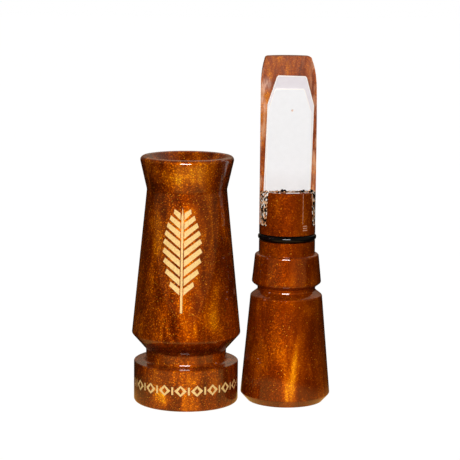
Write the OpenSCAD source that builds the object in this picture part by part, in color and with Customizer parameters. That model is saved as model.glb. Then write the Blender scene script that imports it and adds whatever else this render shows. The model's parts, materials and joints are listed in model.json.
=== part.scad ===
// Double-reed duck call, pulled apart into its two halves, which stand side by side.
// The barrel stands on its socket end. The insert stands on its exhaust end, tone board up.
// Millimetres, +Z up. The origin is under the middle of the pair, on the surface they stand on.

/* [Layout] */
// Distance between the axis of the barrel and the axis of the insert
axis_gap = 28.3; // [28.2:0.1:60]
// How far the insert stands behind the barrel
insert_back = 2.4; // [0:0.1:2.6]
// How far the barrel is turned, so that its feather faces a little left
barrel_turn = -4.3; // [-180:0.1:180]
// How far the insert is turned, so that its reeds face a little right
insert_turn = 5.4; // [-180:0.1:180]

/* [Barrel] */
// Height of the barrel
barrel_h = 70; // [68:0.1:80]
// Radius of the bore, which takes a five-eighths-inch tenon
socket_r = 7.985; // [7.96:0.005:8.1]
// Radius of the foot band
band_r = 14.79; // [13.5:0.01:15]
// Height of the foot band
band_h = 11.8; // [9:0.1:12.2]
// Radius of the lanyard neck above the band
neck_r = 11.35; // [10.5:0.05:12]
// Largest radius of the body
belly_r = 15.36; // [14.9:0.01:16]
// Height of the largest radius
belly_z = 20; // [19.4:0.1:22]
// Radius of the waist under the mouth flare
waist_r = 11.26; // [10.5:0.01:12]
// Height of the waist
waist_z = 60.5; // [56:0.1:62]
// Radius of the mouth flare under its lip
flare_r = 13.12; // [12.5:0.01:14]

/* [Insert] */
// Height of the insert, from its foot to the tip of the tone board
insert_h = 97.7; // [94:0.1:100]
// Radius of the foot
foot_r = 12.72; // [12:0.01:13]
// Radius at the top of the exhaust cone
cone_top_r = 10.2; // [9.6:0.05:10.6]
// Height of the top of the exhaust cone
cone_top_z = 30.15; // [26:0.1:30.2]
// Radius of the bottom of the lanyard groove
groove_r = 8.2; // [7.95:0.05:8.8]
// Height of the collar's lower edge
collar_z = 34.4; // [33.8:0.1:35]
// Radius of the collar at its lower edge
collar_r = 9.8; // [9.2:0.01:10.1]
// Height of the shoulder, where the collar ends and the tenon starts
shoulder_z = 42.3; // [42:0.1:43]
// Radius of the tenon and of the tone board, for a five-eighths-inch bore
tenon_r = 7.94; // [7.9:0.005:7.95]
// Height of the top of the tenon's front wall
wall_top_z = 60.2; // [58:0.1:61]
// Radius of the drilled air way
airway_r = 3.97; // [3.2:0.01:4.1]
// Radius of the exhaust mouth
exhaust_r = 7.6; // [6.5:0.1:8.5]

/* [Tone board] */
// How far the flat reed face stands in front of the axis
face_y = 0.2; // [0:0.1:1.6]
// Height where the face starts to curve away from the reeds
curve_z = 66; // [62:1:70]
// Radius of that curve, seen from the side
curve_r = 240; // [200:10:400]
// Height where the sides start to draw in towards the tip
nose_z = 85.5; // [76:0.1:87]
// How far each side has drawn in at the tip
nose_in = 1.75; // [1:0.05:2.5]

/* [Reeds and cork] */
// Thickness of each reed
reed_t = 0.25; // [0.2:0.01:0.3]
// Height of the lower reed's tip
lower_tip_z = 92.4; // [90:0.1:93]
// Height of the upper reed's tip
upper_tip_z = 88.8; // [86:0.1:89]
// Width of the lower reed
lower_w = 13.4; // [12.4:0.1:13.5]
// Width of the upper reed
upper_w = 12.8; // [11.6:0.1:12.9]
// Lean of the lower reed to the right, in degrees
lower_skew = 1.6; // [0:0.1:1.7]
// Lean of the upper reed to the right, in degrees
upper_skew = 0.3; // [0:0.1:1]
// Height of the floor of the cork notch
notch_z = 50.6; // [49.5:0.1:51]
// Depth of the notch in front of the axis, at its mouth
notch_mouth_y = 5.05; // [4.9:0.05:5.3]
// Depth of the notch in front of the axis, at its floor
notch_floor_y = 4.55; // [4.3:0.05:4.8]

/* [O-ring] */
// Height of the middle of the O-ring
ring_z = 47.15; // [46.5:0.05:47.6]
// Diameter of the O-ring's cord
ring_cord = 1.78; // [1.5:0.01:1.8]

/* [Ornament] */
// Height of the feather's middle
feather_z = 42.5; // [40:0.5:44]
// Length of the feather
feather_h = 29; // [24:1:30]
// Width of the feather
feather_w = 11; // [8:0.5:12]
// Number of barbs on each side of the feather
barbs = 9; // [6:1:12]
// Height of the middle of the band's pattern
pattern_z = 6; // [4:0.1:7]
// Number of lozenges round the band
lozenges = 20; // [12:1:22]
// Depth of the engraving
engrave = 0.25; // [0.15:0.01:0.3]
// Thickness of the gold filler in the engraving
filler = 0.2; // [0.1:0.01:0.2]

/* [Hidden] */
$fn = 96;

row_w = belly_r + axis_gap + foot_r;
barrel_x = belly_r - row_w / 2;
insert_x = row_w / 2 - foot_r;
play = 0.02; // gap between faces that rest on each other
over = 1; // how far a cutting tool runs past a surface
ring_groove_w = 2.1;
ring_groove_r = tenon_r + 0.31 - ring_cord - play;
ring_r = ring_groove_r + play + ring_cord / 2;
lower_back = -face_y - play;
upper_back = lower_back - reed_t - play;
cork_back = upper_back - reed_t - play;
mark_depth = 0.12;
mark_angle = 26;

// Points on an arc, from one angle to another
function arc(centre, radius, from, to, steps = 6) =
    [for (i = [0:steps]) let (a = from + (to - from) * i / steps) centre + radius * [cos(a), sin(a)]];

// Radius of the barrel's body at a height
function body_r(z) = belly_r + (waist_r - belly_r) * (z - belly_z) / (waist_z - belly_z);

// How far the tone board's face has dropped behind its flat at a height
function face_drop(z) = z < curve_z ? 0 : curve_r - sqrt(curve_r * curve_r - pow(z - curve_z, 2));

// Half the width of the tone board at a height, as seen from the front
function board_half(z) =
    z < nose_z ? tenon_r + over : tenon_r - nose_in * pow((z - nose_z) / (insert_h - nose_z), 3.2);

// ---- Barrel ----

function barrel_outline() = concat(
    [[socket_r, 0.6], [socket_r + 0.6, 0]],
    arc([band_r - 0.9, 0.9], 0.9, -90, 0),
    arc([band_r - 0.4, band_h - 0.4], 0.4, 0, 90, 4),
    arc([neck_r + 0.9, band_h + 1], 0.9, 270, 180),
    arc([neck_r + 0.8, band_h + 3.05], 0.8, 180, 135, 3),
    arc([belly_r - 0.8, belly_z + 0.02], 0.8, -45, 5.7, 5),
    [[waist_r + 0.03, waist_z - 0.35], [waist_r, waist_z], [waist_r + 0.05, waist_z + 0.35]],
    arc([flare_r - 1.1, barrel_h - 1.1], 1.1, -12, 128, 10),
    arc([socket_r + 1.5, barrel_h - 4.2], 1.5, 128, 180, 5)
);

// A short prism that cuts the barrel's front skin: the child is drawn in X and Z
module through_front(from) {
    translate([0, -from, 0]) rotate([90, 0, 0]) linear_extrude(belly_r + over - from) children();
}

// A skin that follows the body cone, from one depth under its surface to another
module cone_skin(deep, shallow) {
    low = feather_z - feather_h / 2 - over;
    high = feather_z + feather_h / 2 + over;
    rotate_extrude() polygon([
        [body_r(low) - deep, low], [body_r(low) - shallow, low],
        [body_r(high) - shallow, high], [body_r(high) - deep, high]
    ]);
}

// Half the width of the feather's vane at a share of its length
function vane(t) = feather_w / 2 * pow(sin(180 * pow(t, 0.75)), 0.6);

// One barb: it leaves the quill and rises to the edge of the vane
module barb(i) {
    step = feather_h * 0.8 / barbs;
    base = feather_h * 0.17 + i * step;
    reach = vane((i + 0.8) / (barbs + 0.9));
    rise = reach * 0.72;
    polygon([[0.55, base], [reach, base + rise], [reach * 0.9, base + rise + step * 0.46],
             [0.55, base + step * 0.72]]);
}

module feather() {
    translate([0, feather_z - feather_h / 2]) {
        polygon([[-0.3, 0], [0.3, 0], [0.32, feather_h * 0.9], [0, feather_h], [-0.32, feather_h * 0.9]]);
        for (i = [0:barbs - 1]) {
            barb(i);
            mirror([1, 0]) barb(i);
        }
    }
}

module feather_cut(deep, shallow) {
    rotate([0, 0, barrel_turn]) intersection() {
        cone_skin(deep, shallow);
        through_front(neck_r - over) feather();
    }
}

// A lozenge with a lozenge hole, and a slim bar beside it
module pattern_step() {
    wide = 1.75;
    tall = 1.6;
    line = 0.68;
    translate([0, pattern_z]) difference() {
        polygon([[wide, 0], [0, tall], [-wide, 0], [0, -tall]]);
        polygon([[wide - line * 1.5, 0], [0, tall - line], [-wide + line * 1.5, 0], [0, -tall + line]]);
    }
}

module pattern_bar() {
    translate([-0.28, pattern_z - 1.1]) square([0.56, 2.2]);
}

module band_cut(deep, shallow) {
    step = 360 / lozenges;
    intersection() {
        difference() {
            translate([0, 0, pattern_z - 2]) cylinder(h = 4, r = band_r - shallow);
            translate([0, 0, pattern_z - 3]) cylinder(h = 6, r = band_r - deep);
        }
        union() for (i = [0:lozenges - 1]) {
            rotate([0, 0, barrel_turn + i * step]) through_front(band_r - over) pattern_step();
            rotate([0, 0, barrel_turn + (i + 0.5) * step]) through_front(band_r - over) pattern_bar();
        }
    }
}

module barrel() {
    color([0.45, 0.16, 0.03]) translate([barrel_x, 0, 0]) difference() {
        rotate_extrude() polygon(barrel_outline());
        feather_cut(engrave, -over);
        band_cut(engrave, -over);
    }
}

module feather_inlay() {
    color([0.9, 0.7, 0.38]) translate([barrel_x, 0, 0]) feather_cut(engrave, engrave - filler);
}

module band_inlay() {
    color([0.9, 0.7, 0.38]) translate([barrel_x, 0, 0]) band_cut(engrave, engrave - filler);
}

// ---- Insert ----

// Places what is drawn on the insert's own axis, with the reed face towards -Y
module on_insert() {
    translate([insert_x, insert_back, 0]) rotate([0, 0, insert_turn]) children();
}

// A prism that runs across the insert from side to side: the child is drawn in Y and Z
module across() {
    rotate([90, 0, 90]) linear_extrude(4 * tenon_r, center = true) children();
}

function insert_outline() = concat(
    [[0, 0], [foot_r - 1.95, 0]],
    arc([foot_r - 0.5, 2.35], 0.5, -45, 5, 4),
    arc([cone_top_r - 0.7, cone_top_z - 0.1], 0.7, 5, 60, 4),
    [[groove_r + 0.1, cone_top_z + 1.7], [groove_r, cone_top_z + 2], [groove_r, collar_z - 1.5]],
    arc([collar_r - 0.75, collar_z + 0.05], 0.75, -60, 5, 5),
    arc([tenon_r + 0.42, shoulder_z - 0.7], 0.7, 5, 90, 5),
    [[tenon_r, shoulder_z], [tenon_r, ring_z - ring_groove_w / 2]],
    [[ring_groove_r, ring_z - ring_groove_w / 2], [ring_groove_r, ring_z + ring_groove_w / 2]],
    [[tenon_r, ring_z + ring_groove_w / 2], [tenon_r, wall_top_z - 0.25]],
    [[tenon_r - 0.25, wall_top_z], [0, wall_top_z]]
);

// The side view of what the board keeps: everything behind its reed face
module board_side() {
    steps = 14;
    polygon(concat(
        [[tenon_r + over, notch_z - over], [-face_y, notch_z - over]],
        [for (i = [0:steps]) let (z = curve_z + (insert_h - curve_z) * i / steps) [-face_y + face_drop(z), z]],
        [[tenon_r + over, insert_h]]
    ));
}

// The front view of the board: straight sides that draw in to a tip with round corners
module board_front() {
    steps = 12;
    corner = 1;
    side = concat(
        [[tenon_r + over, notch_z - over]],
        [for (i = [0:steps]) let (z = nose_z + (insert_h - corner - nose_z) * i / steps) [board_half(z), z]],
        arc([board_half(insert_h - corner) - corner, insert_h - corner], corner, 18, 90, 5)
    );
    polygon(concat(side, [for (i = [len(side) - 1:-1:0]) [-side[i][0], side[i][1]]]));
}

module tone_board() {
    intersection() {
        translate([0, 0, notch_z - over]) cylinder(h = insert_h, r = tenon_r);
        across() board_side();
        rotate([90, 0, 0]) linear_extrude(4 * tenon_r, center = true) board_front();
    }
}

// The notch that the reeds and the cork are wedged into, open at both sides and at the top
module cork_notch() {
    top = wall_top_z + over;
    slope = (notch_mouth_y - notch_floor_y) / (wall_top_z - notch_z);
    across() polygon([
        [-face_y, notch_z], [-notch_floor_y, notch_z],
        [-notch_mouth_y - slope * over, top], [-face_y, top]
    ]);
}

// The drilled air way, with the drill's point at its end and a flare at the exhaust
module airway() {
    drill_end = 83.6;
    flare_h = 9;
    translate([0, 0, -over]) cylinder(h = drill_end + over, r = airway_r);
    translate([0, 0, drill_end]) cylinder(h = 2.3, r1 = airway_r, r2 = 0);
    translate([0, 0, -0.01]) cylinder(h = flare_h, r1 = exhaust_r, r2 = airway_r - 0.3);
}

// A thin line down the front of the tenon, with three short bars under it
module mark_cut(deep, shallow) {
    intersection() {
        difference() {
            translate([0, 0, notch_z - 2]) cylinder(h = 12, r = tenon_r - shallow);
            translate([0, 0, notch_z - 3]) cylinder(h = 14, r = tenon_r - deep);
        }
        rotate([0, 0, mark_angle]) union() {
            translate([-0.07, -tenon_r - over, notch_z + 0.9]) cube([0.14, 3, 8.5]);
            for (i = [0:2]) translate([0.05, -tenon_r - over, notch_z - 1 + i * 0.6]) cube([1.5, 3, 0.26]);
        }
    }
}

module insert() {
    color([0.5, 0.17, 0.02]) on_insert() difference() {
        union() {
            rotate_extrude() polygon(insert_outline());
            tone_board();
        }
        cork_notch();
        airway();
        mark_cut(mark_depth, -over);
    }
}

module guide_mark() {
    color([0.85, 0.55, 0.4]) on_insert() mark_cut(mark_depth, 0.02);
}

module o_ring() {
    color([0.02, 0.02, 0.02]) on_insert() translate([0, 0, ring_z])
        rotate_extrude() translate([ring_r, 0]) circle(r = ring_cord / 2, $fn = 48);
}

// ---- Reeds and cork ----

// The outline of a reed: a straight strip whose corners are cut back to a narrow tip
module reed_outline(width, tip_z, tip_half, corner_z) {
    low = notch_z + 0.2;
    half = width / 2;
    round = 0.2;
    polygon([
        [-half, low], [half, low], [half - 0.15, corner_z], [tip_half + round, tip_z - round * 2],
        [tip_half - round, tip_z], [-tip_half + round, tip_z], [-tip_half - round, tip_z - round * 2],
        [-half + 0.15, corner_z]
    ]);
}

// Lays a flat outline against the board, its back at a given Y, moved sideways and leaning
module laid_reed(back, side, skew) {
    pivot_z = 56;
    on_insert() translate([side, back, pivot_z]) rotate([0, skew, 0]) translate([0, 0, -pivot_z])
        rotate([90, 0, 0]) linear_extrude(reed_t) children();
}

module lower_reed() {
    color([0.86, 0.85, 0.87]) laid_reed(lower_back, -0.34, lower_skew)
        reed_outline(lower_w, lower_tip_z, 4, 84.3);
}

module upper_reed() {
    dimple_x = 0.85;
    dimple_z = 82.7;
    color([0.95, 0.95, 0.95]) difference() {
        laid_reed(upper_back, -0.05, upper_skew) reed_outline(upper_w, upper_tip_z, 4.05, 82.1);
        on_insert() translate([dimple_x, upper_back - reed_t - play, dimple_z]) rotate([-90, 0, 0])
            cylinder(h = reed_t * 0.6, r1 = 0.32, r2 = 0.12, $fn = 32);
    }
}

// The block of cork, wedged between the reeds and the front wall, its ends flush with the tenon
module cork_wedge() {
    low = notch_z + 0.05;
    high = wall_top_z - 0.05;
    slope = (notch_mouth_y - notch_floor_y) / (wall_top_z - notch_z);
    floor_front = -notch_floor_y + play;
    color([0.55, 0.42, 0.3]) on_insert() intersection() {
        across() polygon([
            [cork_back, low], [floor_front - slope * 0.05, low],
            [floor_front - slope * (high - notch_z), high], [cork_back, high]
        ]);
        translate([0, 0, notch_z - over]) cylinder(h = 14, r = tenon_r - 0.04);
    }
}

barrel();
feather_inlay();
band_inlay();
insert();
o_ring();
guide_mark();
lower_reed();
upper_reed();
cork_wedge();
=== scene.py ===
# %% [markdown]
# # A duck call, taken apart
# The object is a small wind instrument in two turned halves. The barrel is the part that is blown
# into, and the insert carries the tone board, the reeds and a cork that wedges them. Both halves
# stand side by side on a pale table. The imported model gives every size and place, and this lesson
# gives it its looks: pearl acrylic, gold filler, rubber, film and ground cork.

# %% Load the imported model
import json
import math

import bmesh
import bpy
from mathutils import Matrix, Vector, noise


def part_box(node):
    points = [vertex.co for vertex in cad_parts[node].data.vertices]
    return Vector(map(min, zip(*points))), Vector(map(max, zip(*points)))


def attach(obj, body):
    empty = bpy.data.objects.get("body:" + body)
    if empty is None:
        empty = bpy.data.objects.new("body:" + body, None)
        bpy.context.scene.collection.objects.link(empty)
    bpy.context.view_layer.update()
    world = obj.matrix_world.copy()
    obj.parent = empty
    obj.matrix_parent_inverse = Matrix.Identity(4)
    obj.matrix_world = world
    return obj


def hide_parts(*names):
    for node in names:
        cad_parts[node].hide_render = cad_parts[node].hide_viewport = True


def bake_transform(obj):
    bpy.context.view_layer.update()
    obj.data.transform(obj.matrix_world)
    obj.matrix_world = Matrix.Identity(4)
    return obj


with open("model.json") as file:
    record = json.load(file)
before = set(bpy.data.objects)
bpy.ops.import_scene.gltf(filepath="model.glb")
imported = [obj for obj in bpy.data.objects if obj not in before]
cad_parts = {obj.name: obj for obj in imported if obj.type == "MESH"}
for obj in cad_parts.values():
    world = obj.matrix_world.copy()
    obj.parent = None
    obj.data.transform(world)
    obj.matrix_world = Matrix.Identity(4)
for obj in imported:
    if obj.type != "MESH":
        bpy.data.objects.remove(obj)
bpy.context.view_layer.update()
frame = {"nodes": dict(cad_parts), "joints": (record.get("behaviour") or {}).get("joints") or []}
MM = 0.001
print("nodes:", ", ".join(sorted(frame["nodes"])))

# %% [markdown]
# ## Camera
# A long lens from half a metre away keeps the turned profiles almost free of perspective. It looks
# slightly down, so the mouth of the barrel shows as a slim ellipse. Blender's camera looks along its
# own -Z, so a turn of 90 degrees less the downward pitch about X points it at the call.

# %% Make the camera
CAMERA_AT = (-0.68 * MM, -488.8 * MM, 125.95 * MM)
PITCH_DOWN = math.radians(8.94)
ROLL = math.radians(0.56)
LENS = 137.7
FILM_WIDTH = 36.0

camera_data = bpy.data.cameras.new("camera")
camera_data.lens = LENS
camera_data.sensor_width = FILM_WIDTH
camera_data.clip_start, camera_data.clip_end = 0.01, 10.0
camera = bpy.data.objects.new("camera", camera_data)
bpy.context.scene.collection.objects.link(camera)
camera.matrix_world = (Matrix.Translation(CAMERA_AT)
                       @ Matrix.Rotation(math.pi / 2 - PITCH_DOWN, 4, "X")
                       @ Matrix.Rotation(ROLL, 4, "Z"))
bpy.context.scene.camera = camera
bpy.context.scene.view_settings.view_transform = "Standard"
print("camera looks down by", round(math.degrees(PITCH_DOWN), 2), "degrees")

# %% [markdown]
# ## Where the pieces are
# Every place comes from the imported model's boxes. A turned half is centred on its own axis, so the
# middle of its box gives that axis. The reeds are turned a little with the insert, and their hinge
# axis in the record gives that turn.

# %% Measure the halves
def box_middle(node):
    """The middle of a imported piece's box."""
    low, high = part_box(node)
    return (low + high) / 2


barrel_axis = Vector((box_middle("barrel").x, 0, 0))
insert_axis = Vector((box_middle("insert").x, box_middle("insert").y, 0))
flex = next(j for j in frame["joints"] if j["name"] == "lower_reed_flex")
board_turn = math.atan2(flex["axis"][1], flex["axis"][0])
print("barrel axis x", round(barrel_axis.x / MM, 2), "mm, insert axis x", round(insert_axis.x / MM, 2), "mm")
print("tone board turned", round(math.degrees(board_turn), 2), "degrees")

# %% [markdown]
# ## Small helpers for materials
# A material here is a tree of nodes. A few helpers keep the cells short. They add a node and set its
# values, start a material with a Principled BSDF, do arithmetic, ramp and mix colours, and make or
# place a node group.

# %% Node helpers
def add(tree, kind, **values):
    """Adds a node; a value whose name is an input sets that input, and any other sets the node."""
    made = tree.nodes.new(kind)
    for name, value in values.items():
        socket = name.replace("_", " ")
        if socket in made.inputs:
            made.inputs[socket].default_value = value
        else:
            setattr(made, name, value)
    return made


def start_material(name, **values):
    """A new material; the values set inputs of its Principled BSDF."""
    material = bpy.data.materials.new(name)
    material.use_nodes = True
    tree = material.node_tree
    tree.nodes.clear()
    surface = add(tree, "ShaderNodeBsdfPrincipled", **values)
    out = tree.nodes.new("ShaderNodeOutputMaterial")
    tree.links.new(surface.outputs["BSDF"], out.inputs["Surface"])
    return material, tree, surface


def math_node(tree, operation, first, second=None, third=None):
    """One step of arithmetic on sockets or plain numbers."""
    made = tree.nodes.new("ShaderNodeMath")
    made.operation = operation
    for socket, value in zip(made.inputs, (first, second, third)):
        if value is None:
            continue
        if isinstance(value, (int, float)):
            socket.default_value = value
        else:
            tree.links.new(value, socket)
    return made.outputs[0]


def ramp(tree, value, stops, interpolation="LINEAR"):
    """A colour ramp from (position, colour) stops."""
    made = tree.nodes.new("ShaderNodeValToRGB")
    made.color_ramp.interpolation = interpolation
    while len(made.color_ramp.elements) < len(stops):
        made.color_ramp.elements.new(1.0)
    for element, (position, colour) in zip(made.color_ramp.elements, stops):
        element.position = position
        element.color = (*colour, 1)
    tree.links.new(value, made.inputs["Fac"])
    return made.outputs["Color"]


def mix_colour(tree, blend, factor, first, second):
    """Mixes two colours; each may be a socket or a plain (red, green, blue)."""
    made = tree.nodes.new("ShaderNodeMix")
    made.data_type = "RGBA"
    made.blend_type = blend
    for socket, value in ((made.inputs[0], factor), (made.inputs[6], first), (made.inputs[7], second)):
        if isinstance(value, (int, float)):
            socket.default_value = value
        elif isinstance(value, tuple):
            socket.default_value = (*value, 1)
        else:
            tree.links.new(value, socket)
    return made.outputs[2]


def new_group(name, inputs, outputs):
    """A shader node group; inputs and outputs are (name, socket type, default)."""
    group = bpy.data.node_groups.new(name, "ShaderNodeTree")
    for label, kind, default in inputs:
        socket = group.interface.new_socket(label, in_out="INPUT", socket_type=kind)
        if default is not None:
            socket.default_value = default
    for label, kind in outputs:
        group.interface.new_socket(label, in_out="OUTPUT", socket_type=kind)
    return group, group.nodes.new("NodeGroupInput"), group.nodes.new("NodeGroupOutput")


def place_group(tree, group, **values):
    """Puts a node group in a tree and sets or joins its inputs."""
    made = tree.nodes.new("ShaderNodeGroup")
    made.node_tree = group
    for label, value in values.items():
        socket = made.inputs[label.replace("_", " ")]
        if isinstance(value, (int, float, tuple)):
            socket.default_value = value
        else:
            tree.links.new(value, socket)
    return made


# %% [markdown]
# ## Pearl acrylic
# Both halves are turned from one cast block. Clear amber resin holds mica and metal flakes, which
# lie in drifts where the resin was poured, so the colour runs in long soft streaks along the rod,
# from near-black brown through copper to gold. The drifts are a stretched noise that a second noise
# bends. The flakes are Voronoi cells: each cell has one random tilt and brightness, so flakes flash
# one by one as the light moves. Each heavier pour of gold is one ragged ellipsoid with its own place,
# size and lean, and a few ellipsoids are painted light and painted shade instead of gold. Drifts,
# flakes and ellipsoids are three groups, because the satin face of the tone board uses them too, the
# ellipsoid there for a painted sheen.

# %% Group for the drifts of mica
drifts, group_in, group_out = new_group(
    "Mica drifts",
    [("Position", "NodeSocketVector", None), ("Cloud Scale", "NodeSocketFloat", 95.0),
     ("Stretch", "NodeSocketFloat", 0.22), ("Bend", "NodeSocketFloat", 0.35)],
    [("Drift", "NodeSocketFloat"), ("Cloud", "NodeSocketFloat")])

bend_noise = add(drifts, "ShaderNodeTexNoise", Scale=45.0, Detail=2.0, Roughness=0.5)
drifts.links.new(group_in.outputs["Position"], bend_noise.inputs["Vector"])
centred = add(drifts, "ShaderNodeVectorMath", operation="SUBTRACT")
centred.inputs[1].default_value = (0.5, 0.5, 0.5)
drifts.links.new(bend_noise.outputs["Color"], centred.inputs[0])
scaled = add(drifts, "ShaderNodeVectorMath", operation="SCALE")
drifts.links.new(centred.outputs[0], scaled.inputs[0])
drifts.links.new(math_node(drifts, "MULTIPLY", group_in.outputs["Bend"], 0.02), scaled.inputs["Scale"])
bent = add(drifts, "ShaderNodeVectorMath", operation="ADD")
drifts.links.new(group_in.outputs["Position"], bent.inputs[0])
drifts.links.new(scaled.outputs[0], bent.inputs[1])
parts = add(drifts, "ShaderNodeSeparateXYZ")
drifts.links.new(bent.outputs[0], parts.inputs[0])
along = add(drifts, "ShaderNodeCombineXYZ")
drifts.links.new(parts.outputs["X"], along.inputs["X"])
drifts.links.new(parts.outputs["Y"], along.inputs["Y"])
drifts.links.new(math_node(drifts, "MULTIPLY", parts.outputs["Z"], group_in.outputs["Stretch"]),
                 along.inputs["Z"])
streaks = add(drifts, "ShaderNodeTexNoise", Detail=5.0, Roughness=0.55, Distortion=0.6)
drifts.links.new(along.outputs[0], streaks.inputs["Vector"])
drifts.links.new(math_node(drifts, "MULTIPLY", group_in.outputs["Cloud Scale"], 3.0), streaks.inputs["Scale"])
clouds = add(drifts, "ShaderNodeTexNoise", Detail=3.0, Roughness=0.5)
drifts.links.new(bent.outputs[0], clouds.inputs["Vector"])
drifts.links.new(group_in.outputs["Cloud Scale"], clouds.inputs["Scale"])
drifts.links.new(streaks.outputs["Fac"], group_out.inputs["Drift"])
drifts.links.new(clouds.outputs["Fac"], group_out.inputs["Cloud"])
print("group:", drifts.name)

# %% Group for the flakes
flakes, group_in, group_out = new_group(
    "Metal flakes",
    [("Position", "NodeSocketVector", None), ("Flakes per Metre", "NodeSocketFloat", 3300.0),
     ("Tilt", "NodeSocketFloat", 0.3)],
    [("Flash", "NodeSocketFloat"), ("Normal", "NodeSocketVector")])

cells = add(flakes, "ShaderNodeTexVoronoi", feature="F1")
flakes.links.new(group_in.outputs["Position"], cells.inputs["Vector"])
flakes.links.new(group_in.outputs["Flakes per Metre"], cells.inputs["Scale"])
chance = add(flakes, "ShaderNodeSeparateColor")
flakes.links.new(cells.outputs["Color"], chance.inputs[0])
flakes.links.new(chance.outputs["Red"], group_out.inputs["Flash"])
facing = add(flakes, "ShaderNodeNewGeometry")
lean = add(flakes, "ShaderNodeVectorMath", operation="SUBTRACT")
lean.inputs[1].default_value = (0.5, 0.5, 0.5)
flakes.links.new(cells.outputs["Color"], lean.inputs[0])
lean_scaled = add(flakes, "ShaderNodeVectorMath", operation="SCALE")
flakes.links.new(lean.outputs[0], lean_scaled.inputs[0])
flakes.links.new(group_in.outputs["Tilt"], lean_scaled.inputs["Scale"])
leaned = add(flakes, "ShaderNodeVectorMath", operation="ADD")
flakes.links.new(facing.outputs["Normal"], leaned.inputs[0])
flakes.links.new(lean_scaled.outputs[0], leaned.inputs[1])
unit = add(flakes, "ShaderNodeVectorMath", operation="NORMALIZE")
flakes.links.new(leaned.outputs[0], unit.inputs[0])
flakes.links.new(unit.outputs[0], group_out.inputs["Normal"])
print("group:", flakes.name)

# %% Group for one ragged ellipsoid, used for pours of gold and for painted light and shade
streak_group, group_in, group_out = new_group(
    "Ragged ellipsoid",
    [("Position", "NodeSocketVector", None), ("Centre", "NodeSocketVector", (0, 0, 0)),
     ("Half Size", "NodeSocketVector", (0.002, 0.004, 0.01)), ("Lean", "NodeSocketFloat", 0.0),
     ("Ragged", "NodeSocketFloat", 0.8)],
    [("Amount", "NodeSocketFloat")])

offset_from = add(streak_group, "ShaderNodeVectorMath", operation="SUBTRACT")
streak_group.links.new(group_in.outputs["Position"], offset_from.inputs[0])
streak_group.links.new(group_in.outputs["Centre"], offset_from.inputs[1])
leaned_over = add(streak_group, "ShaderNodeVectorRotate", rotation_type="Y_AXIS")
streak_group.links.new(offset_from.outputs[0], leaned_over.inputs["Vector"])
streak_group.links.new(group_in.outputs["Lean"], leaned_over.inputs["Angle"])
share = add(streak_group, "ShaderNodeVectorMath", operation="DIVIDE")
streak_group.links.new(leaned_over.outputs[0], share.inputs[0])
streak_group.links.new(group_in.outputs["Half Size"], share.inputs[1])
away = add(streak_group, "ShaderNodeVectorMath", operation="LENGTH")
streak_group.links.new(share.outputs[0], away.inputs[0])
fray = add(streak_group, "ShaderNodeTexNoise", Scale=420.0, Detail=3.0, Roughness=0.6)
thin = add(streak_group, "ShaderNodeMapping")
thin.inputs["Scale"].default_value = (1.0, 1.0, 0.3)
streak_group.links.new(group_in.outputs["Position"], thin.inputs["Vector"])
streak_group.links.new(thin.outputs[0], fray.inputs["Vector"])
frayed = math_node(streak_group, "MULTIPLY_ADD",
                   math_node(streak_group, "SUBTRACT", fray.outputs["Fac"], 0.5), group_in.outputs["Ragged"],
                   away.outputs["Value"])
fade = add(streak_group, "ShaderNodeMapRange", interpolation_type="SMOOTHSTEP")
streak_group.links.new(frayed, fade.inputs["Value"])
for label, value in (("From Min", 0.15), ("From Max", 1.0), ("To Min", 1.0), ("To Max", 0.0)):
    fade.inputs[label].default_value = value
streak_group.links.new(fade.outputs["Result"], group_out.inputs["Amount"])
print("group:", streak_group.name)


# %% The acrylic itself
def on_skin(axis, radius, degrees, height):
    """A point on a turned skin; 0 degrees is the front and positive is to the right."""
    turn = math.radians(degrees)
    return axis + Vector((math.sin(turn) * radius, -math.cos(turn) * radius, height)) * MM


FINE_FLAKES, COARSE_FLAKES, SATIN_FLAKES = 3700.0, 5200.0, 3900.0
CLOUD_SHARE = 0.35


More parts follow.
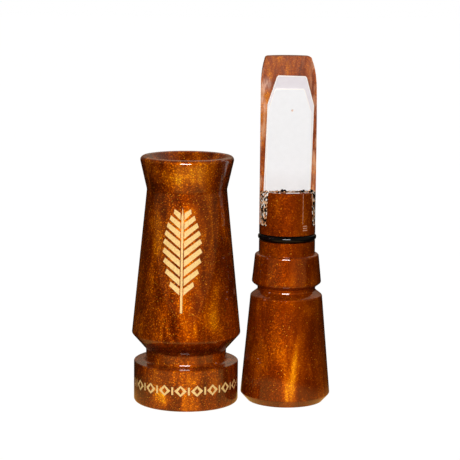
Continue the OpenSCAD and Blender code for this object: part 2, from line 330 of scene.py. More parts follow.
def pearl_acrylic(name, offset, stops, grain_depth, spark_share, pours_and_painted_light):
    """Polished resin: a tilted-flake metallic layer under a clear, smooth coat.

    The offset moves the drifts through the rod, so that the two halves are not cut from one spot. The
    stops colour the resin from thin to gold, and the spark share is how many coarse flakes flash. The
    last argument lists ragged ellipsoids that add or take away gold; a few are painted light and shade.
    """
    material, tree, surface = start_material(
        name, Coat_Weight=1.0, Coat_Roughness=0.03, Coat_IOR=1.58, IOR=1.49, Specular_IOR_Level=0.0,
        Metallic=0.62, Roughness=0.56)
    where = add(tree, "ShaderNodeTexCoord")
    moved = add(tree, "ShaderNodeMapping")
    moved.inputs["Location"].default_value = offset
    tree.links.new(where.outputs["Object"], moved.inputs["Vector"])
    drift = place_group(tree, drifts, Position=moved.outputs[0])
    fine = place_group(tree, flakes, Position=moved.outputs[0], Flakes_per_Metre=FINE_FLAKES, Tilt=0.24)
    coarse = place_group(tree, flakes, Position=moved.outputs[0], Flakes_per_Metre=COARSE_FLAKES, Tilt=0.9)

    amount = math_node(tree, "MULTIPLY_ADD", drift.outputs["Cloud"], CLOUD_SHARE,
                       math_node(tree, "MULTIPLY", drift.outputs["Drift"], 1.0 - CLOUD_SHARE))
    for centre, half_size, lean, strength in pours_and_painted_light:
        ellipsoid = place_group(tree, streak_group, Position=where.outputs["Object"], Centre=tuple(centre),
                           Half_Size=tuple(v * MM for v in half_size), Lean=math.radians(lean))
        amount = math_node(tree, "MULTIPLY_ADD", ellipsoid.outputs["Amount"], strength, amount)
    resin = ramp(tree, amount, stops)
    grain = ramp(tree, fine.outputs["Flash"], [(0.0, (0.66, 0.62, 0.60)), (0.6, (0.90, 0.90, 0.90)),
                                               (0.85, (1.35, 1.55, 1.5)), (1.0, (2.4, 3.4, 3.2))])
    speckled = mix_colour(tree, "MULTIPLY", grain_depth, resin, grain)
    spark = ramp(tree, coarse.outputs["Flash"], [(1.0 - spark_share, (0, 0, 0)), (1.0, (0.6, 0.30, 0.02))])
    colour = mix_colour(tree, "ADD", 1.0, speckled, spark)
    tree.links.new(colour, surface.inputs["Base Color"])
    tree.links.new(fine.outputs["Normal"], surface.inputs["Normal"])
    return material


AMBER = [(0.34, (0.10, 0.0105, 0.0)), (0.45, (0.19, 0.0235, 0.0)), (0.55, (0.33, 0.05, 0.0)),
         (0.66, (0.56, 0.125, 0.0)), (0.80, (0.90, 0.31, 0.004))]
CALM_AMBER = [(0.32, (0.13, 0.014, 0.0)), (0.45, (0.19, 0.0225, 0.0)), (0.55, (0.265, 0.037, 0.0)),
              (0.66, (0.42, 0.078, 0.0)), (0.80, (0.90, 0.31, 0.004))]
# Each pour is its centre, its half size in mm, its lean in degrees and how much gold it adds. A pour
# that adds less than nothing makes a darker patch. A few entries are painted light and shade instead.
barrel_pours_and_painted_light = [
    # Partly real gold, partly painted light: a painted glow on the flare's front, where it mirrors the lit
    # table.
    (on_skin(barrel_axis, 12.5, 2, 66.0), (11.0, 8, 5.4), 0, 0.21),
    (on_skin(barrel_axis, 13.0, -38, 46), (2.4, 5, 5.5), 4, 0.10),
    (on_skin(barrel_axis, 13.0, 62, 40), (4.5, 6, 22.0), 0, -0.12),
    (on_skin(barrel_axis, 12.6, -48, 66.5), (3.0, 6, 4.6), 0, 0.10),
    (on_skin(barrel_axis, 14.5, 34, 28), (2.2, 5, 12.0), -3, 0.13),
    (on_skin(barrel_axis, 15.0, 11, 24), (1.1, 4, 6.0), 0, 0.14),
    (on_skin(barrel_axis, 14.8, -12, 24), (2.0, 4, 6.0), 2, -0.10),
    # Painted shade: a flat band all round the barrel darkens the flank under the belly, which shades it.
    (on_skin(barrel_axis, 0, 0, 16.6), (60, 60, 2.6), 0, -0.16),
    (on_skin(barrel_axis, 11.6, -2, 58.6), (4.6, 5, 3.6), 0, -0.22),
    (on_skin(barrel_axis, 14.8, -25, 4), (3.6, 6, 4.5), 25, 0.24),
    (on_skin(barrel_axis, 14.8, 12, 9), (3.0, 6, 3.0), 0, 0.10),
    (on_skin(barrel_axis, 14.8, 36, 7), (2.6, 6, 3.4), 0, 0.13),
]
insert_pours_and_painted_light = [
    (on_skin(insert_axis, 12.4, 4, 4), (2.9, 6, 13.0), -9, 0.25),
    (on_skin(insert_axis, 11.3, 14, 17), (1.3, 4, 9.0), -8, 0.12),
    (on_skin(insert_axis, 12.0, -36, 8), (4.0, 6, 7.0), 14, 0.07),
    (on_skin(insert_axis, 8.0, -22, 54), (1.6, 5, 6.0), 2, 0.06),
    (on_skin(insert_axis, 8.0, 2, 52), (1.0, 5, 5.0), -3, 0.05),
    (on_skin(insert_axis, 9.8, 0, 38.5), (30, 30, 4.5), 0, -0.06),
    (on_skin(insert_axis, 10.5, 38, 27), (2.6, 4, 3.0), 0, 0.10),
    # Partly a real gold streak, partly painted light: it brightens the insert's right side in place of light
    # from the right.
    (on_skin(insert_axis, 12.0, 60, 10), (5.0, 7, 16.0), 0, 0.16),
]
barrel_acrylic = pearl_acrylic("Pearl_acrylic_barrel", (0.013, 0.002, 0.01), AMBER, 1.0, 0.03, barrel_pours_and_painted_light)
insert_acrylic = pearl_acrylic("Pearl_acrylic_insert", (-0.071, 0.04, 0.233), CALM_AMBER, 0.6, 0.012,
                               insert_pours_and_painted_light)


def dress(node, material):
    """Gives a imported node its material."""
    piece = frame["nodes"][node]
    piece.data.materials.clear()
    piece.data.materials.append(material)


dress("barrel", barrel_acrylic)
dress("insert", insert_acrylic)
print("dressed the two halves in acrylic")

# %% [markdown]
# ## The satin face of the tone board
# The reeds have to lie on a true, dry face, so the maker sands the board flat and leaves it unpolished.
# It is the same resin without its glassy coat: duller, paler and slightly scuffed along the length.
# Two pale spots near the tip on the left are a painted sheen, the softbox's reflection painted in. The
# face is part of the insert, so its triangles are picked by where they point and how deep they lie, and they
# take a second material.
# The sanding runs over the rounded edge at the tip, so that edge takes it as well.

# %% Satin resin
REED_SIDE = Vector((math.sin(board_turn), -math.cos(board_turn), 0))
board_right = Vector((math.cos(board_turn), math.sin(board_turn), 0))
WEAR_START, WEAR_FULL = 5.6 * MM, 7.2 * MM
# Each painted sheen spot is its place across and up the board and its half size, in mm.
PAINTED_SHEEN_SPOTS = [(-6.6, 89.6, (1.7, 6, 3.0)), (-7.2, 84.3, (1.4, 6, 3.0))]

satin_resin, tree, surface = start_material("Satin_resin", IOR=1.49, Roughness=0.36, Specular_IOR_Level=0.12)
where = add(tree, "ShaderNodeTexCoord")
drift = place_group(tree, drifts, Position=where.outputs["Object"])
fine = place_group(tree, flakes, Position=where.outputs["Object"], Flakes_per_Metre=SATIN_FLAKES, Tilt=0.15)
resin = ramp(tree, drift.outputs["Drift"], [(0.35, (0.15, 0.024, 0.003)), (0.5, (0.29, 0.055, 0.006)),
                                           (0.68, (0.55, 0.155, 0.004))])
grain = ramp(tree, fine.outputs["Flash"], [(0.0, (0.72, 0.68, 0.62)), (0.8, (1.08, 1.1, 1.05)),
                                           (1.0, (1.6, 1.9, 1.2))])
speckled = mix_colour(tree, "MULTIPLY", 1.0, resin, grain)
stretched = add(tree, "ShaderNodeMapping")
stretched.inputs["Scale"].default_value = (1.0, 1.0, 0.22)
tree.links.new(where.outputs["Object"], stretched.inputs["Vector"])
scuffs = add(tree, "ShaderNodeTexNoise", Scale=620.0, Detail=5.0, Roughness=0.68)
tree.links.new(stretched.outputs[0], scuffs.inputs["Vector"])
across = add(tree, "ShaderNodeVectorMath", operation="DOT_PRODUCT")
across.inputs[1].default_value = board_right
from_axis = add(tree, "ShaderNodeVectorMath", operation="SUBTRACT")
tree.links.new(where.outputs["Object"], from_axis.inputs[0])
from_axis.inputs[1].default_value = insert_axis
tree.links.new(from_axis.outputs[0], across.inputs[0])
edge_wear = add(tree, "ShaderNodeMapRange", interpolation_type="SMOOTHSTEP")
tree.links.new(math_node(tree, "ABSOLUTE", across.outputs["Value"]), edge_wear.inputs["Value"])
for label, value in (("From Min", WEAR_START), ("From Max", WEAR_FULL), ("To Min", 0.12), ("To Max", 1.0)):
    edge_wear.inputs[label].default_value = value
scuffed = mix_colour(tree, "MULTIPLY", 1.0,
                     ramp(tree, scuffs.outputs["Fac"], [(0.47, (0, 0, 0)), (0.64, (0.78, 0.78, 0.78))]),
                     edge_wear.outputs["Result"])
worn = mix_colour(tree, "MIX", scuffed, speckled, (0.60, 0.32, 0.18))
# Painted sheen: two pale spots are mixed into the colour in place of the softbox's reflection on the satin
# face.
painted_sheen = 0.0
for side, height, half_size in PAINTED_SHEEN_SPOTS:
    sheen_spot = place_group(tree, streak_group, Position=where.outputs["Object"],
                      Centre=tuple(insert_axis + board_right * side * MM + Vector((0, 0, height * MM))),
                      Half_Size=tuple(v * MM for v in half_size), Lean=0.0)
    painted_sheen = math_node(tree, "MULTIPLY_ADD", sheen_spot.outputs["Amount"], 0.85, painted_sheen)
broken = add(tree, "ShaderNodeMapRange", interpolation_type="SMOOTHSTEP")
tree.links.new(scuffs.outputs["Fac"], broken.inputs["Value"])
for label, value in (("From Min", 0.36), ("From Max", 0.62), ("To Min", 0.15), ("To Max", 1.0)):
    broken.inputs[label].default_value = value
painted_sheen_mask = math_node(tree, "MULTIPLY", painted_sheen, broken.outputs["Result"])
colour = mix_colour(tree, "MIX", painted_sheen_mask, worn, (0.80, 0.50, 0.38))
tree.links.new(colour, surface.inputs["Base Color"])
sanding = add(tree, "ShaderNodeTexNoise", Scale=5200.0, Detail=2.0)
tree.links.new(stretched.outputs[0], sanding.inputs["Vector"])
bump = add(tree, "ShaderNodeBump", Strength=0.15, Distance=0.00004)
tree.links.new(sanding.outputs["Fac"], bump.inputs["Height"])
tree.links.new(bump.outputs[0], surface.inputs["Normal"])

insert_piece = frame["nodes"]["insert"]
insert_piece.data.materials.append(satin_resin)
BOARD_DEPTH = 2.2 * MM
TIP_LENGTH = 22 * MM
TIP_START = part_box("insert")[1].z - TIP_LENGTH
satin_faces = 0
for face in insert_piece.data.polygons:
    faces_reeds = face.normal.dot(REED_SIDE) > 0.9
    depth = (face.center - insert_axis).dot(REED_SIDE)
    sanded_rim = face.center.z > TIP_START and face.normal.dot(REED_SIDE) > -0.3
    if (faces_reeds and depth < BOARD_DEPTH) or sanded_rim:
        face.material_index = 1
        satin_faces += 1
print("satin triangles:", satin_faces)

# %% [markdown]
# ## Gold filler and the guide mark
# The feather and the band's pattern are cut a quarter of a millimetre deep and rubbed full of gold
# paint, which dries dull and a little grainy. The guide mark is bare engraving, which scatters light
# and so looks pale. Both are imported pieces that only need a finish.

# %% Fillers
def filler(name, base, dark, grain_scale):
    """A dry paint whose pigment clumps: a fine noise moves its colour and its height."""
    material, tree, surface = start_material(name, Roughness=0.55, Specular_IOR_Level=0.3)
    where = add(tree, "ShaderNodeTexCoord")
    clumps = add(tree, "ShaderNodeTexNoise", Scale=grain_scale, Detail=3.0, Roughness=0.7)
    tree.links.new(where.outputs["Object"], clumps.inputs["Vector"])
    colour = ramp(tree, clumps.outputs["Fac"], [(0.36, dark), (0.62, base)])
    tree.links.new(colour, surface.inputs["Base Color"])
    bump = add(tree, "ShaderNodeBump", Strength=0.3, Distance=0.00005)
    tree.links.new(clumps.outputs["Fac"], bump.inputs["Height"])
    tree.links.new(bump.outputs[0], surface.inputs["Normal"])
    return material


gold_paint = filler("Gold_paint", (0.93, 0.66, 0.27), (0.72, 0.44, 0.14), 3000.0)
bare_cut = filler("Bare_cut", (0.62, 0.34, 0.23), (0.36, 0.15, 0.08), 3500.0)
dress("feather_inlay", gold_paint)
dress("band_inlay", gold_paint)
dress("guide_mark", bare_cut)
print("dressed the fillers")

# %% [markdown]
# ## O-ring
# A nitrile ring wiped with grease. It is almost black, and what shows is one soft highlight and a
# faint moulding texture.

# %% Rubber
rubber, tree, surface = start_material("Greased_rubber", Specular_IOR_Level=0.24)
where = add(tree, "ShaderNodeTexCoord")
smear = add(tree, "ShaderNodeTexNoise", Scale=900.0, Detail=3.0)
tree.links.new(where.outputs["Object"], smear.inputs["Vector"])
colour = ramp(tree, smear.outputs["Fac"], [(0.3, (0.0015, 0.0013, 0.0015)), (0.7, (0.004, 0.0035, 0.004))])
tree.links.new(colour, surface.inputs["Base Color"])
tree.links.new(math_node(tree, "MULTIPLY_ADD", smear.outputs["Fac"], 0.10, 0.05), surface.inputs["Roughness"])
bump = add(tree, "ShaderNodeBump", Strength=0.12, Distance=0.00005)
tree.links.new(smear.outputs["Fac"], bump.inputs["Height"])
tree.links.new(bump.outputs[0], surface.inputs["Normal"])
dress("o_ring", rubber)
print("dressed the O-ring")

# %% [markdown]
# ## Reeds
# The reeds are strips of frosted film a quarter of a millimetre thick. In use they bend; here each one
# gets cross cuts along its length.
# The shape is the imported one: a copy is merged, its edges are eased, and cuts are added. Its cut
# edges and a slim rim round each reed are painted brighter, a painted glow of the light that leaves
# the film at its cut edge, and painted shade darkens each reed just above the cork. The faces of the
# dimple in the upper reed take a darker tan film.

# %% Film material
CORK_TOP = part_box("cork_wedge")[1].z
PAINTED_SHADE_LENGTH = 7 * MM


def film(name, base, shade):
    """Frosted film: a faint cloudy colour, a little light inside, and painted shade that darkens it just
    above the cork.
    """
    material, tree, surface = start_material(
        name, Roughness=0.38, IOR=1.55, Specular_IOR_Level=0.35, Subsurface_Weight=0.25,
        Subsurface_Scale=0.0006)
    surface.inputs["Subsurface Radius"].default_value = (1.0, 0.95, 0.9)
    where = add(tree, "ShaderNodeTexCoord")
    frost = add(tree, "ShaderNodeTexNoise", Scale=700.0, Detail=4.0, Roughness=0.6)
    tree.links.new(where.outputs["Object"], frost.inputs["Vector"])
    frosted = ramp(tree, frost.outputs["Fac"], [(0.35, shade), (0.65, base)])
    # Painted shade: the colour darkens to 0.88 at the top of the cork and clears over 7 mm above it, where
    # the wall and the cork shade the film.
    height = add(tree, "ShaderNodeSeparateXYZ")
    tree.links.new(where.outputs["Object"], height.inputs[0])
    painted_cork_shade = add(tree, "ShaderNodeMapRange", interpolation_type="SMOOTHSTEP")
    tree.links.new(height.outputs["Z"], painted_cork_shade.inputs["Value"])
    for label, value in (("From Min", CORK_TOP), ("From Max", CORK_TOP + PAINTED_SHADE_LENGTH), ("To Min", 0.88),
                         ("To Max", 1.0)):
        painted_cork_shade.inputs[label].default_value = value
    colour = mix_colour(tree, "MULTIPLY", 1.0, frosted, painted_cork_shade.outputs["Result"])
    tree.links.new(colour, surface.inputs["Base Color"])
    bump = add(tree, "ShaderNodeBump", Strength=0.1, Distance=0.00003)
    tree.links.new(frost.outputs["Fac"], bump.inputs["Height"])
    tree.links.new(bump.outputs[0], surface.inputs["Normal"])
    return material


lower_film = film("Film_lower", (0.70, 0.665, 0.71), (0.68, 0.645, 0.69))
upper_film = film("Film_upper", (0.81, 0.82, 0.85), (0.79, 0.80, 0.83))
# Painted glow: the cut edges and a slim rim round each reed take this brighter film colour, in place of light
# leaving the film at its edge.
painted_glow_film = film("Film_cut_edge_painted_glow", (0.90, 0.875, 0.84), (0.86, 0.83, 0.79))
# The faces of the dimple take this darker tan film.
dimple_tint_film = film("Film_dimple_tint", (0.70, 0.50, 0.40), (0.62, 0.42, 0.32))


# %% Make the reeds
def merged_copy(node):
    """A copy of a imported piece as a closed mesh, with its doubled corners merged."""
    shape = bmesh.new()
    shape.from_mesh(frame["nodes"][node].data)
    bmesh.ops.remove_doubles(shape, verts=shape.verts, dist=0.002 * MM)
    bmesh.ops.dissolve_limit(shape, angle_limit=math.radians(0.5), verts=shape.verts, edges=shape.edges)
    return shape


def finish_piece(shape, name, material):
    """Turns a worked shape into a new piece with one material."""
    mesh = bpy.data.meshes.new(name)
    shape.to_mesh(mesh)
    shape.free()
    mesh.materials.append(material)
    piece = bpy.data.objects.new(name, mesh)
    bpy.context.scene.collection.objects.link(piece)
    return piece


CUT_STEP = 1.2 * MM
EDGE_GLOW = 0.2 * MM
EASED_EDGE = 0.05 * MM
SMALL_FACE = 1 * MM * MM
FILM_FACE, CUT_FACE, DIMPLE_FACE = 0, 1, 2


def near_dimple(point, node):
    """Whether a point lies in the middle stretch of a reed, where the only small faces are its dimple's."""
    low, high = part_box(node)
    aside = abs((point - box_middle(node)).dot(board_right))
    return aside < 3 * MM and low.z + 8 * MM < point.z < high.z - 4 * MM


def make_reed(node, material):
    """An eased strip with a painted bright rim and cross cuts."""
    shape = merged_copy(node)
    sharp = [e for e in shape.edges if len(e.link_faces) == 2 and e.calc_face_angle() > math.radians(40)]
    bmesh.ops.bevel(shape, geom=sharp, offset=EASED_EDGE, segments=2, profile=0.5, affect="EDGES",
                    clamp_overlap=True)
    broad = []
    for face in shape.faces:
        small = face.calc_area() < SMALL_FACE
        if abs(face.normal.dot(REED_SIDE)) > 0.99 and not small:
            broad.append(face)
            face.material_index = FILM_FACE
        elif small and near_dimple(face.calc_center_median(), node):
            face.material_index = DIMPLE_FACE
        else:
            face.material_index = CUT_FACE
    # Painted glow: a slim rim of the broad face takes the brighter edge colour.
    rim = bmesh.ops.inset_region(shape, faces=broad, thickness=EDGE_GLOW, use_boundary=True,
                                 use_even_offset=True)
    for face in rim["faces"]:
        face.material_index = FILM_FACE if near_dimple(face.calc_center_median(), node) else CUT_FACE
    cuts = int((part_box(node)[1].z - CORK_TOP) / CUT_STEP)
    for i in range(cuts):
        bmesh.ops.bisect_plane(shape, geom=shape.verts[:] + shape.edges[:] + shape.faces[:],
                               plane_co=(0, 0, CORK_TOP + i * CUT_STEP), plane_no=(0, 0, 1))
    piece = finish_piece(shape, node + "_film", material)
    piece.data.materials.append(painted_glow_film)
    piece.data.materials.append(dimple_tint_film)
    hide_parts(node)
    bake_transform(piece)
    print(node, "has", len(piece.data.polygons), "faces")


make_reed("lower_reed", lower_film)
make_reed("upper_reed", upper_film)

# %% [markdown]
# ## Cork
# The wedge is cut from composition cork, which is ground bark pressed with a dark binder. Cut faces
# show tan and near-white grains of half a millimetre with black between them, and darker crumbs stand
# proud along the top where the wedge was pushed in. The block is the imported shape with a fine, lumpy skin.
# The grains on top are scattered by a Geometry Nodes tree, because they repeat.

# %% Cork material
def cork(name, stops):
    """Ground bark in a dark binder: every cell of a stretched Voronoi pattern is one grain."""
    material, tree, surface = start_material(name, Roughness=0.9, Specular_IOR_Level=0.05)
    where = add(tree, "ShaderNodeTexCoord")
    slanted = add(tree, "ShaderNodeMapping")
    slanted.inputs["Rotation"].default_value = (0.5, 0.6, 0.3)
    slanted.inputs["Scale"].default_value = (1.5, 1.5, 1.3)
    tree.links.new(where.outputs["Object"], slanted.inputs["Vector"])
    wobble = add(tree, "ShaderNodeTexNoise", Scale=1500.0, Detail=1.0)
    tree.links.new(slanted.outputs[0], wobble.inputs["Vector"])
    wobbled = add(tree, "ShaderNodeVectorMath", operation="MULTIPLY_ADD")
    tree.links.new(wobble.outputs["Color"], wobbled.inputs[0])
    wobbled.inputs[1].default_value = (0.0005, 0.0005, 0.0005)
    tree.links.new(slanted.outputs[0], wobbled.inputs[2])
    grains = add(tree, "ShaderNodeTexVoronoi", Scale=1250.0, feature="F1")
    tree.links.new(wobbled.outputs[0], grains.inputs["Vector"])
    pick = add(tree, "ShaderNodeSeparateColor")
    tree.links.new(grains.outputs["Color"], pick.inputs[0])
    tree.links.new(ramp(tree, pick.outputs["Red"], stops, "CONSTANT"), surface.inputs["Base Color"])
    bump = add(tree, "ShaderNodeBump", Strength=0.4, Distance=0.0001)
    tree.links.new(pick.outputs["Green"], bump.inputs["Height"])
    tree.links.new(bump.outputs[0], surface.inputs["Normal"])
    return material


BINDER, BARK, TAN, BUFF, PALE = ((0.005, 0.004, 0.004), (0.05, 0.022, 0.012), (0.62, 0.29, 0.13),
                                 (0.86, 0.56, 0.33), (1.0, 0.93, 0.85))
ground_cork = cork("Ground_cork", [(0.0, BINDER), (0.42, BARK), (0.48, TAN), (0.70, BUFF), (0.84, PALE)])
crumb_cork = cork("Cork_crumb", [(0.0, BINDER), (0.56, BARK), (0.64, TAN), (0.84, BUFF), (0.96, PALE)])


# %% Subdivide and roughen the wedge
shape = merged_copy("cork_wedge")
bmesh.ops.triangulate(shape, faces=shape.faces)
LONGEST_EDGE = 0.45 * MM
for _ in range(5):
    long_edges = [e for e in shape.edges if e.calc_length() > LONGEST_EDGE]
    if not long_edges:
        break
    bmesh.ops.subdivide_edges(shape, edges=long_edges, cuts=1, use_grid_fill=False)
    bmesh.ops.triangulate(shape, faces=[f for f in shape.faces if len(f.verts) > 3])
shape.normal_update()
LUMP = 0.07 * MM
BROAD_LUMPS, FINE_LUMPS = 1400.0, 3100.0
for vert in shape.verts:
    lump = noise.noise(vert.co * BROAD_LUMPS) * 0.6 + noise.noise(vert.co * FINE_LUMPS) * 0.4
    vert.co -= vert.normal * LUMP * (0.5 + 0.5 * lump)
cork_block = finish_piece(shape, "cork_block", ground_cork)
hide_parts("cork_wedge")
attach(cork_block, "cork_body")
print("cork block:", len(cork_block.data.polygons), "faces")

# %% Geometry Nodes tree for the loose grains
crumb_tree = bpy.data.node_groups.new("Scatter_cork_grains", "GeometryNodeTree")
crumb_sockets = crumb_tree.interface
for label, kind, default in (("Strip", "NodeSocketGeometry", None),
                             ("Grains per Square Metre", "NodeSocketFloat", 9.0e5),
                             ("Grain Size", "NodeSocketFloat", 0.0003), ("Seed", "NodeSocketInt", 3),
                             ("Material", "NodeSocketMaterial", None)):
    made = crumb_sockets.new_socket(label, in_out="INPUT", socket_type=kind)
    if default is not None:
        made.default_value = default
crumb_sockets.new_socket("Grains", in_out="OUTPUT", socket_type="NodeSocketGeometry")
grain_in = crumb_tree.nodes.new("NodeGroupInput")
grain_out = crumb_tree.nodes.new("NodeGroupOutput")
spread = crumb_tree.nodes.new("GeometryNodeDistributePointsOnFaces")
lump = crumb_tree.nodes.new("GeometryNodeMeshIcoSphere")
lump.inputs["Subdivisions"].default_value = 2
place = crumb_tree.nodes.new("GeometryNodeInstanceOnPoints")
tumble = crumb_tree.nodes.new("FunctionNodeRandomValue")
tumble.data_type = "FLOAT_VECTOR"
tumble.inputs[1].default_value = (6.28, 6.28, 6.28)
vary = crumb_tree.nodes.new("FunctionNodeRandomValue")
vary.data_type = "FLOAT_VECTOR"
vary.inputs[0].default_value = (0.55, 0.45, 0.4)
vary.inputs[1].default_value = (1.5, 1.1, 0.9)
real = crumb_tree.nodes.new("GeometryNodeRealizeInstances")
paint = crumb_tree.nodes.new("GeometryNodeSetMaterial")
links = crumb_tree.links
links.new(grain_in.outputs["Strip"], spread.inputs["Mesh"])
links.new(grain_in.outputs["Grains per Square Metre"], spread.inputs["Density"])
for seeded in (spread, tumble, vary):
    links.new(grain_in.outputs["Seed"], seeded.inputs["Seed"])
links.new(grain_in.outputs["Grain Size"], lump.inputs["Radius"])
links.new(spread.outputs["Points"], place.inputs["Points"])
links.new(lump.outputs["Mesh"], place.inputs["Instance"])
links.new(tumble.outputs[0], place.inputs["Rotation"])
links.new(vary.outputs[0], place.inputs["Scale"])
links.new(place.outputs["Instances"], real.inputs["Geometry"])
links.new(real.outputs["Geometry"], paint.inputs["Geometry"])
links.new(grain_in.outputs["Material"], paint.inputs["Material"])
links.new(paint.outputs["Geometry"], grain_out.inputs["Grains"])
print("tree:", crumb_tree.name, "with", len(crumb_tree.nodes), "nodes")

# %% Scatter the grains along the top of the wedge
def on_board(x, y, z):
    """A point from the board's own directions (right, forwards, up, in mm) to the model's frame."""
    return insert_axis + board_right * x * MM + REED_SIDE * y * MM + Vector((0, 0, z * MM))


top_mm = CORK_TOP / MM
strip_mesh = bpy.data.meshes.new("grain_strip")
# Each patch of crumbs is left, right, back and front on the board, in mm.
patches = [(-4.3, -3.1, 3.1, 3.8), (-2.3, -0.7, 3.1, 3.8), (3.2, 4.0, 3.1, 3.6), (-6.8, -5.6, 2.9, 3.5),
           (5.6, 6.8, 2.9, 3.5)]
LIFT_BACK, LIFT_FRONT = 0.1, 0.15
corners, quads = [], []
for left, right, back, front in patches:
    quads.append(tuple(range(len(corners), len(corners) + 4)))
    corners += [on_board(left, back, top_mm + LIFT_BACK), on_board(right, back, top_mm + LIFT_BACK),
                on_board(right, front, top_mm + LIFT_FRONT), on_board(left, front, top_mm + LIFT_FRONT)]
strip_mesh.from_pydata(corners, [], quads)
strip = bpy.data.objects.new("grain_strip", strip_mesh)
bpy.context.scene.collection.objects.link(strip)
scatter = strip.modifiers.new("grains", "NODES")
scatter.node_group = crumb_tree
sockets = {item.name: item.identifier for item in crumb_tree.interface.items_tree if item.in_out == "INPUT"}
for label, value in (("Grains per Square Metre", 2.6e6), ("Grain Size", 0.00052), ("Seed", 4),
                     ("Material", crumb_cork)):
    scatter[sockets[label]] = value
ready = strip.evaluated_get(bpy.context.evaluated_depsgraph_get())
grain_mesh = bpy.data.meshes.new_from_object(ready)
bpy.data.objects.remove(strip)
GRAIN_DENTS, DENT_DEPTH = 3500.0, 0.09 * MM
for vert in grain_mesh.vertices:
    vert.co += Vector(noise.noise_vector(vert.co * GRAIN_DENTS)) * DENT_DEPTH
cork_grains = bpy.data.objects.new("cork_grains", grain_mesh)
bpy.context.scene.collection.objects.link(cork_grains)
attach(cork_grains, "cork_body")
FACES_PER_GRAIN = 80
print("loose grains:", len(grain_mesh.polygons) // FACES_PER_GRAIN)

# %% [markdown]
# ## Table and light
# The call stands on a white table in a white room, but the polish would turn milky if it mirrored all
# that white. So only the camera sees it, and the polish sees a dim room with soft glows: amber ones on
# both sides, and a pale one high behind that lights the backs. One wide softbox hangs high in front
# and draws the short bright dashes on the rounded edges. A warm pool of painted light glows on the table
# in front, seen only in reflections, and is mirrored by the flare of the mouth and by the foot band.

# %% Make the table
PAINTED_POOL_GLOW = 0.78
POOL_CENTRE = (0, -0.065, 0)
POOL_INNER, POOL_OUTER = 0.06, 0.10
TABLE_SIZE = 6.0
UNDER_FEET = -0.05 * MM
bpy.ops.mesh.primitive_plane_add(size=TABLE_SIZE, location=(0, 0, UNDER_FEET))
table = bpy.context.object
table.name = "table"
table_white_and_painted_pool, tree, surface = start_material("Table_white_and_painted_pool", Roughness=0.7, Specular_IOR_Level=0.0)
surface.inputs["Base Color"].default_value = (0.035, 0.02, 0.008, 1)
where = add(tree, "ShaderNodeTexCoord")
# Painted light: for glossy rays the table glows with a warm pool in front; the camera sees it evenly white.
from_pool = add(tree, "ShaderNodeVectorMath", operation="DISTANCE")
tree.links.new(where.outputs["Object"], from_pool.inputs[0])
from_pool.inputs[1].default_value = POOL_CENTRE
painted_pool = add(tree, "ShaderNodeMapRange", interpolation_type="SMOOTHSTEP")
tree.links.new(from_pool.outputs["Value"], painted_pool.inputs["Value"])
for label, value in (("From Min", POOL_INNER), ("From Max", POOL_OUTER), ("To Min", PAINTED_POOL_GLOW),
                     ("To Max", 0.0)):
    painted_pool.inputs[label].default_value = value
seen = add(tree, "ShaderNodeLightPath")
glow = add(tree, "ShaderNodeMix", data_type="FLOAT")
tree.links.new(seen.outputs["Is Camera Ray"], glow.inputs[0])
mirrored_painted_pool = math_node(tree, "MULTIPLY", painted_pool.outputs["Result"], seen.outputs["Is Glossy Ray"])
tree.links.new(mirrored_painted_pool, glow.inputs[2])
glow.inputs[3].default_value = 1.0
tree.links.new(glow.outputs[0], surface.inputs["Emission Strength"])
tree.links.new(mix_colour(tree, "MIX", seen.outputs["Is Camera Ray"], (1.0, 0.52, 0.13), (1.0, 1.0, 1.0)),
               surface.inputs["Emission Color"])
table.data.materials.append(table_white_and_painted_pool)


# %% Make the lights
def softbox(name, place, target, width, height, power):
    """A rectangular area light that points at a target."""
    lamp = bpy.data.lights.new(name, "AREA")
    lamp.shape = "RECTANGLE"
    lamp.size, lamp.size_y = width, height
    lamp.energy = power
    stand = bpy.data.objects.new(name, lamp)
    bpy.context.scene.collection.objects.link(stand)
    stand.location = place
    stand.rotation_euler = (Vector(target) - Vector(place)).to_track_quat("-Z", "Y").to_euler()


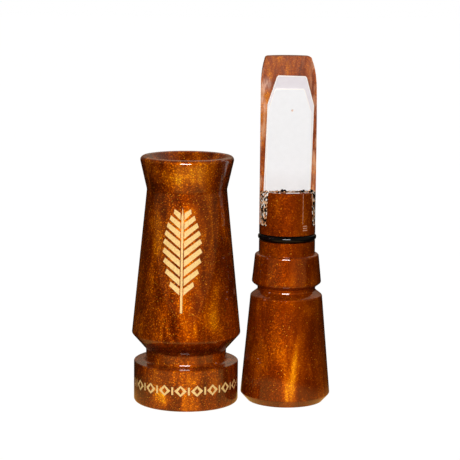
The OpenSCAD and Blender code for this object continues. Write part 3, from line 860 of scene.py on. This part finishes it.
softbox("key_box", (-0.05, -0.96, 0.46), (0, 0, 0.04), 0.5, 0.42, 13.0)

room = bpy.data.worlds.new("room")
bpy.context.scene.world = room
room.use_nodes = True
tree = room.node_tree
tree.nodes.clear()
glow = add(tree, "ShaderNodeBackground", Strength=1.0)
room_out = tree.nodes.new("ShaderNodeOutputWorld")
direction = add(tree, "ShaderNodeTexCoord")
split = add(tree, "ShaderNodeSeparateXYZ")
tree.links.new(direction.outputs["Generated"], split.inputs[0])
backdrop = ramp(tree, math_node(tree, "MULTIPLY_ADD", split.outputs["Y"], 0.5, 0.5),
                [(0.86, (0.006, 0.0055, 0.005)), (0.97, (0.17, 0.12, 0.08))])
around = backdrop
# Each glow is its direction, its strength, how well a ray must line up with it to see any of it (1 is
# exactly along it), and its colour.
AMBER_GLOW, PALE_GLOW = (1.0, 0.66, 0.25), (1.0, 0.84, 0.62)
for toward, strength, edge, tint in (((0.80, -0.55, 0.22), 0.24, 0.45, AMBER_GLOW),
                                     ((-0.86, -0.46, 0.22), 0.20, 0.45, AMBER_GLOW),
                                     ((0.10, 0.62, 0.78), 0.85, 0.70, PALE_GLOW)):
    aligned = add(tree, "ShaderNodeVectorMath", operation="DOT_PRODUCT")
    tree.links.new(direction.outputs["Generated"], aligned.inputs[0])
    aligned.inputs[1].default_value = toward
    soft = add(tree, "ShaderNodeMapRange", interpolation_type="SMOOTHSTEP")
    tree.links.new(aligned.outputs["Value"], soft.inputs["Value"])
    for label, value in (("From Min", edge), ("From Max", 1.0), ("To Min", 0.0), ("To Max", strength)):
        soft.inputs[label].default_value = value
    warm = mix_colour(tree, "MIX", soft.outputs["Result"], (0.0, 0.0, 0.0), tint)
    around = mix_colour(tree, "ADD", 1.0, around, warm)
seen = add(tree, "ShaderNodeLightPath")
room_colour = mix_colour(tree, "MIX", seen.outputs["Is Camera Ray"], around, (1.0, 1.0, 1.0))
tree.links.new(room_colour, glow.inputs["Color"])
tree.links.new(glow.outputs[0], room_out.inputs["Surface"])
